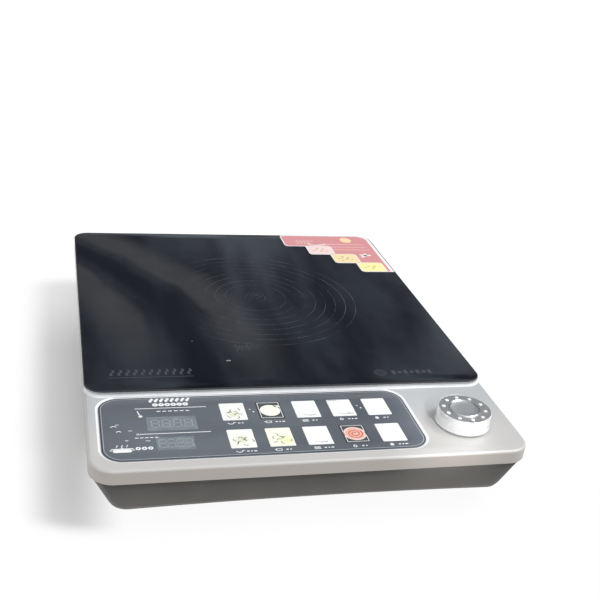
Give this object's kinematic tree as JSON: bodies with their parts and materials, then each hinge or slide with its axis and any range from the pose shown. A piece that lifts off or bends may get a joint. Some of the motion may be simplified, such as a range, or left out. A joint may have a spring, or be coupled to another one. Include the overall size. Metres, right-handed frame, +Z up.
{
  "type": "portable radiant cooktop",
  "caption": "Portable table-top radiant cooktop: black ceramic glass on a silver cover, dark tapered base, picture key panel, twin display windows and a chrome knob.",
  "frame": {"origin": "centre of the body's footprint, on the surface that the feet stand on", "axes": "+Z up, +Y to the back (the glass end), +X to the user's right; the control panel faces -Y"},
  "size_m": [0.28, 0.362, 0.0577],
  "materials": {
    "ceramic_glass": "polished black glass ceramic with soft grey reflections",
    "sealant": "smooth pale silicone",
    "label_print": "printed film, pink with yellow tabs and a white edge",
    "silver_paint": "satin silver paint with fine flake",
    "slate_film": "slate grey printed film, satin",
    "key_picture": "printed picture of food on white, glossy",
    "power_picture": "printed glowing ring on grey with a white border",
    "tinted_window": "smoked clear film over digits",
    "knob_chrome": "bright chrome",
    "knob_grey": "brushed satin",
    "knob_dot": "polished",
    "bright_steel": "zinc plated",
    "brass_plate": "nickel plated brass",
    "switch_plastic": "moulded",
    "green_board": "solder mask",
    "display_face": "moulded digits",
    "flat_cable": "ribbed flat cable",
    "dark_plastic": "fine grain moulding",
    "foot_rubber": "soft black rubber",
    "black_plastic": "moulded",
    "heater_steel": "pressed sheet",
    "insulation": "pressed mineral board",
    "ribbon_metal": "heat tinted ribbon",
    "quartz": "frosted quartz",
    "ceramic": "unglazed ceramic",
    "spring_steel": "blued spring steel",
    "shield_foil": "bright rolled sheet",
    "lead_sleeve": "braided glass sleeve",
    "copper_winding": "enamelled copper",
    "tan_board": "phenolic board",
    "sink_aluminium": "extruded",
    "relay_blue": "moulded case",
    "capacitor_yellow": "moulded case",
    "transformer_tape": "polyester tape",
    "fuse_glass": "clear tube with plated caps",
    "terminal_green": "moulded block"
  },
  "bodies": {
    "cooktop": {"glass_plate": "ceramic_glass", "glass_seal": "sealant", "corner_label": "label_print", "top_cover": "silver_paint", "panel_film": "slate_film", "upper_window": "tinted_window", "lower_window": "tinted_window", "encoder_body": "switch_plastic", "encoder_nut": "brass_plate", "control_board": "green_board", "tact_switches": "switch_plastic", "upper_display": "display_face", "lower_display": "display_face", "ribbon_cable": "flat_cable", "base_shell": "dark_plastic", "front_left_foot": "foot_rubber", "front_right_foot": "foot_rubber", "rear_left_foot": "foot_rubber", "rear_right_foot": "foot_rubber", "case_screws": "bright_steel", "inner_screws": "bright_steel", "cord_gland": "black_plastic", "heater_dish": "heater_steel", "heater_insulation": "insulation", "outer_ribbon": "ribbon_metal", "inner_ribbon": "ribbon_metal", "limiter_rod": "quartz", "limiter_switch": "ceramic", "heater_terminal": "ceramic", "heater_bracket": "heater_steel", "heater_springs": "spring_steel", "heat_shield": "shield_foil", "heater_leads": "lead_sleeve", "fan_frame": "black_plastic", "fan_stator": "copper_winding", "fan_screws": "bright_steel", "power_board": "tan_board", "heat_sink": "sink_aluminium", "power_triac": "switch_plastic", "relay": "relay_blue", "filter_capacitor": "capacitor_yellow", "transformer": "transformer_tape", "fuse": "fuse_glass", "mains_terminal": "terminal_green"},
    "knob": {"knob_skirt": "knob_chrome", "knob_face": "knob_grey", "knob_cap": "knob_grey", "knob_dots": "knob_dot", "encoder_shaft": "bright_steel"},
    "fan": {"fan_rotor": "black_plastic"},
    "fry_key_body": {"fry_key": "key_picture"},
    "hot_pot_key_body": {"hot_pot_key": "key_picture"},
    "porridge_key_body": {"porridge_key": "key_picture"},
    "boil_key_body": {"boil_key": "key_picture"},
    "lock_key_body": {"lock_key": "key_picture"},
    "barbecue_key_body": {"barbecue_key": "key_picture"},
    "soup_key_body": {"soup_key": "key_picture"},
    "steam_key_body": {"steam_key": "key_picture"},
    "power_key_body": {"power_key": "power_picture"},
    "timer_key_body": {"timer_key": "key_picture"}
  },
  "joints": [
    {"name": "knob_turn", "type": "hinge", "parent": "cooktop", "child": "knob", "pos_m": [0.104, -0.146, 0.047], "axis": [0, 0, 1], "continuous": true},
    {"name": "fan_spin", "type": "hinge", "parent": "cooktop", "child": "fan", "pos_m": [-0.078, -0.1, 0.02], "axis": [0, 0, 1], "continuous": true},
    {"name": "fry_press", "type": "slide", "parent": "cooktop", "child": "fry_key_body", "axis": [0, 0, -1], "range_m": [0, 0.0003], "stiffness_N_per_m": 600},
    {"name": "hot_pot_press", "type": "slide", "parent": "cooktop", "child": "hot_pot_key_body", "axis": [0, 0, -1], "range_m": [0, 0.0003], "stiffness_N_per_m": 600},
    {"name": "porridge_press", "type": "slide", "parent": "cooktop", "child": "porridge_key_body", "axis": [0, 0, -1], "range_m": [0, 0.0003], "stiffness_N_per_m": 600},
    {"name": "boil_press", "type": "slide", "parent": "cooktop", "child": "boil_key_body", "axis": [0, 0, -1], "range_m": [0, 0.0003], "stiffness_N_per_m": 600},
    {"name": "lock_press", "type": "slide", "parent": "cooktop", "child": "lock_key_body", "axis": [0, 0, -1], "range_m": [0, 0.0003], "stiffness_N_per_m": 600},
    {"name": "barbecue_press", "type": "slide", "parent": "cooktop", "child": "barbecue_key_body", "axis": [0, 0, -1], "range_m": [0, 0.0003], "stiffness_N_per_m": 600},
    {"name": "soup_press", "type": "slide", "parent": "cooktop", "child": "soup_key_body", "axis": [0, 0, -1], "range_m": [0, 0.0003], "stiffness_N_per_m": 600},
    {"name": "steam_press", "type": "slide", "parent": "cooktop", "child": "steam_key_body", "axis": [0, 0, -1], "range_m": [0, 0.0003], "stiffness_N_per_m": 600},
    {"name": "power_press", "type": "slide", "parent": "cooktop", "child": "power_key_body", "axis": [0, 0, -1], "range_m": [0, 0.0003], "stiffness_N_per_m": 600},
    {"name": "timer_press", "type": "slide", "parent": "cooktop", "child": "timer_key_body", "axis": [0, 0, -1], "range_m": [0, 0.0003], "stiffness_N_per_m": 600}
  ]
}
